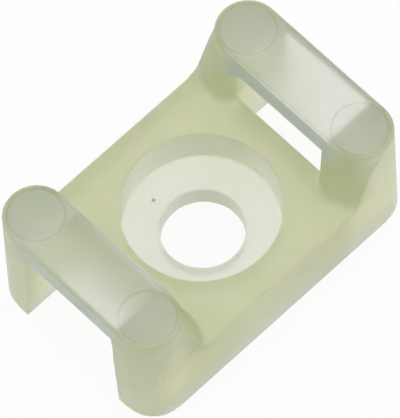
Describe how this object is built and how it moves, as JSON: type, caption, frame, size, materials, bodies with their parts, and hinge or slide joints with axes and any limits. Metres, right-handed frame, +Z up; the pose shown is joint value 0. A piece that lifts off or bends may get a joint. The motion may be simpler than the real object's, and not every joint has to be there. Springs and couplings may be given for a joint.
{
  "type": "cable tie mount",
  "caption": "Screw-fixed saddle mount for cable ties: a thick plate with a counterbored screw hole and a raised bridge over an open tie slot at each end, moulded in natural nylon.",
  "frame": {"origin": "middle of the footprint, on the face that meets the panel", "axes": "+X along the mount, the way a tie runs through it; +Y along the bridges; +Z up from the panel, the way the screw comes out"},
  "size_m": [0.018, 0.0114, 0.0076],
  "materials": {
    "natural_nylon": "satin, translucent natural nylon"
  },
  "bodies": {
    "root": {"tie_mount": "natural_nylon"}
  },
  "joints": []
}
